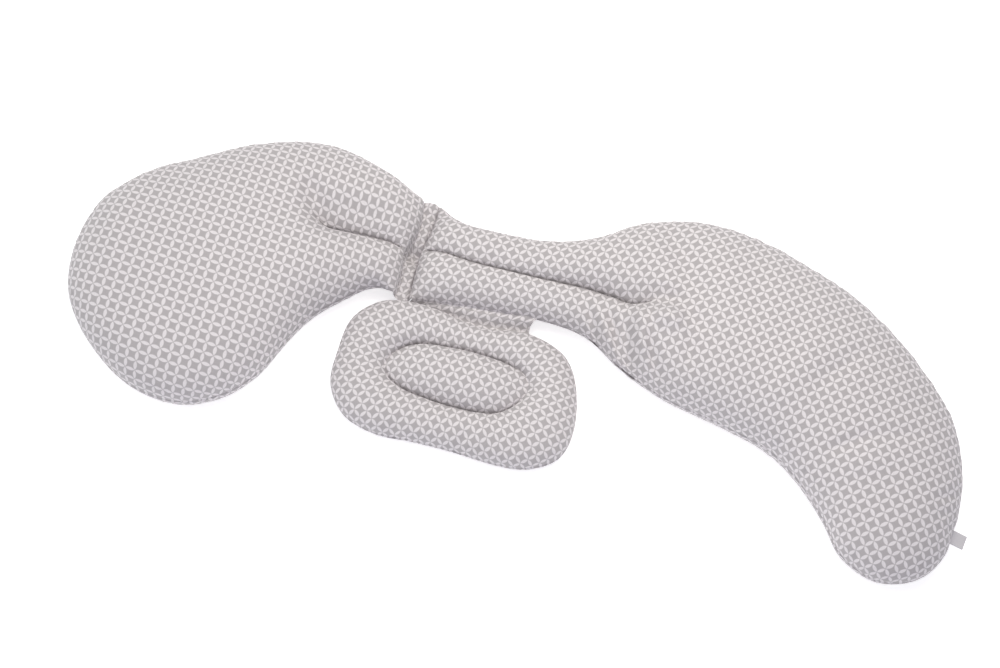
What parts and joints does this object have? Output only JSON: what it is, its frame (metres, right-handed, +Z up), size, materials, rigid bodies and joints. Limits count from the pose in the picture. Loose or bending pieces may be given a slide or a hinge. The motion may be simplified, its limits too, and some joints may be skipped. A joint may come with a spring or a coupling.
{
  "type": "body pillow",
  "caption": "Contoured body pillow in soft printed jersey, with a head cushion, a long curved cushion for back, hip and leg, and a small stitched belly pad.",
  "frame": {"origin": "on the surface that the pillow lies on, under the middle of its bounding box", "axes": "+X from the head to the foot, -Y towards the belly side, +Z up out of the surface"},
  "size_m": [1.4134, 0.7478, 0.1394],
  "materials": {
    "printed_jersey": "soft matt cotton jersey with a grey and off-white petal print",
    "label_ribbon": "plain grey satin ribbon"
  },
  "bodies": {
    "root": {"head_cushion": "printed_jersey", "head_hinge": "printed_jersey", "body_cushion": "printed_jersey", "pad_hinge": "printed_jersey", "belly_pad": "printed_jersey", "side_label": "label_ribbon"}
  },
  "joints": []
}
